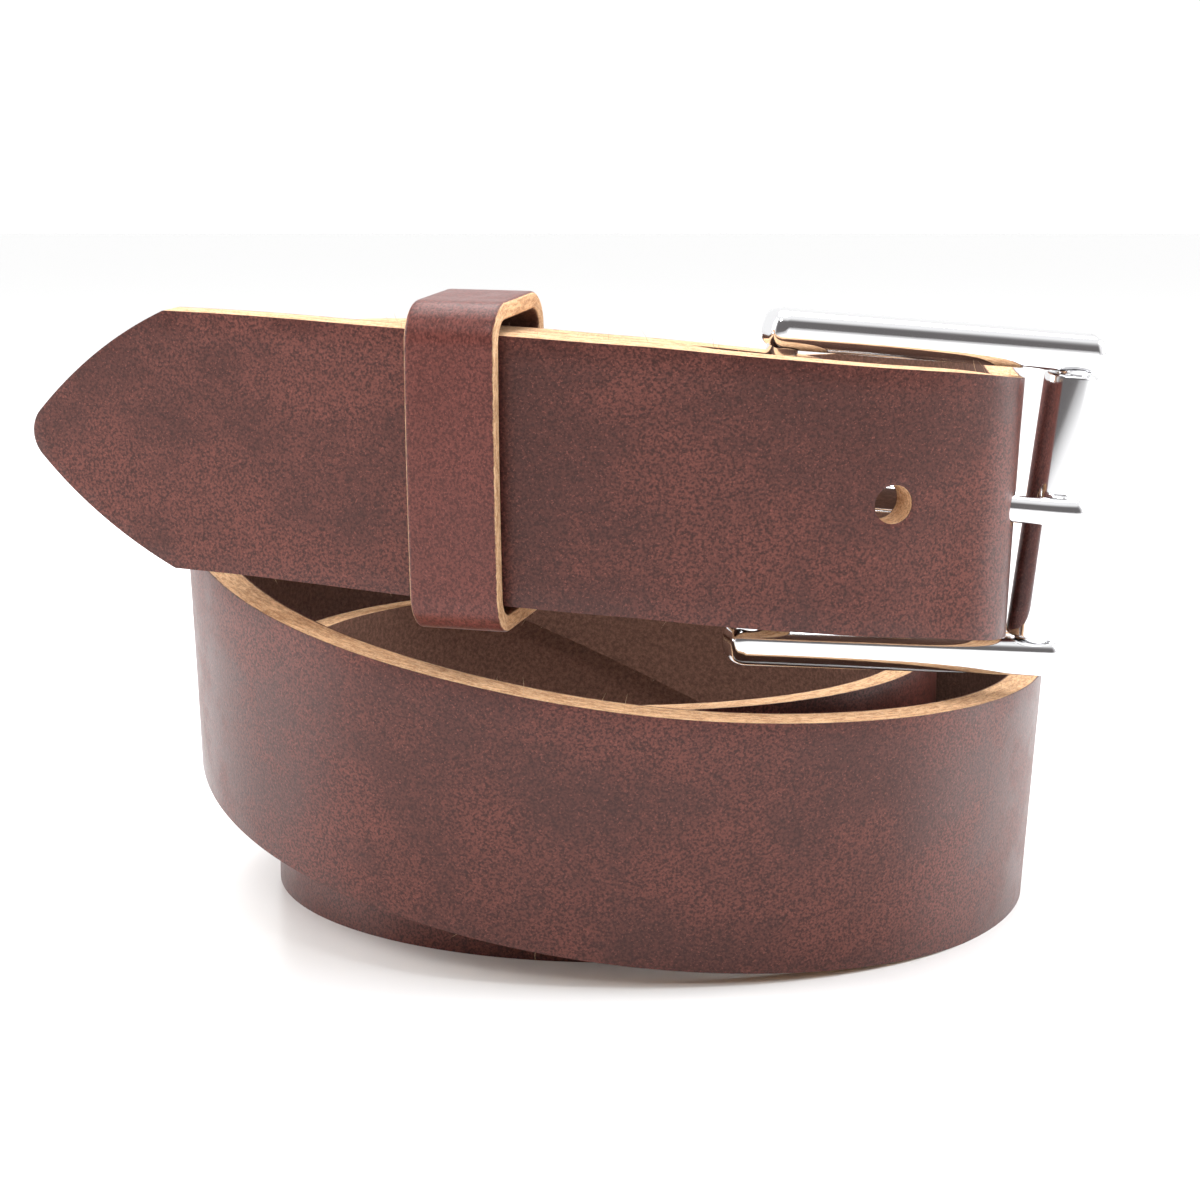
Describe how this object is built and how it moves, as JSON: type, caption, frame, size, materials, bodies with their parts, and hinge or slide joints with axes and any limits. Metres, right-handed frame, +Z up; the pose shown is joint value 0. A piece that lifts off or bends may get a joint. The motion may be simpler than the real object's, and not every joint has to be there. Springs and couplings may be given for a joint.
{
  "type": "leather belt",
  "caption": "Leather dress belt worn into a coil and fastened: roller buckle, swinging prong, sliding keeper loop, punched holes and a pointed tip.",
  "frame": {"origin": "centre of the coil's footprint, on the floor the turned edge of the strap stands on", "axes": "+X to the viewer's right along the coil's longest side, +Z up, across the strap; -Y is the front, where the buckle is"},
  "size_m": [0.1333, 0.1198, 0.0833],
  "materials": {
    "strap_leather": "satin, fine grain, raw tan edges",
    "keeper_leather": "satin, smoother grain",
    "polished_steel": "polished",
    "wire_steel": "drawn wire",
    "screw_steel": "satin"
  },
  "bodies": {
    "belt": {"strap": "strap_leather", "screw_post_1": "screw_steel", "screw_post_2": "screw_steel", "screw_1": "screw_steel", "screw_2": "screw_steel"},
    "buckle": {"buckle_frame": "polished_steel"},
    "roller": {"roller": "polished_steel"},
    "prong": {"prong": "polished_steel"},
    "keeper": {"keeper": "keeper_leather", "keeper_staple": "wire_steel"}
  },
  "joints": [
    {"name": "buckle_swing", "type": "hinge", "parent": "belt", "child": "buckle", "pos_m": [0.0243, -0.04604, 0.0596], "axis": [0.1147, -0.0503, 0.9921], "range_deg": [-0.3, 0.3]},
    {"name": "roller_spin", "type": "hinge", "parent": "buckle", "child": "roller", "pos_m": [0.06099, -0.03395, 0.05597], "axis": [0.1147, -0.0503, 0.9921], "continuous": true},
    {"name": "prong_pivot", "type": "hinge", "parent": "buckle", "child": "prong", "pos_m": [0.0243, -0.04604, 0.0596], "axis": [-0.1147, 0.0503, -0.9921], "range_deg": [0, 1.2]},
    {"name": "keeper_slide", "type": "slide", "parent": "belt", "child": "keeper", "axis": [-0.9588, 0.284, 0.0113], "range_m": [-0.001, 0.001]}
  ]
}
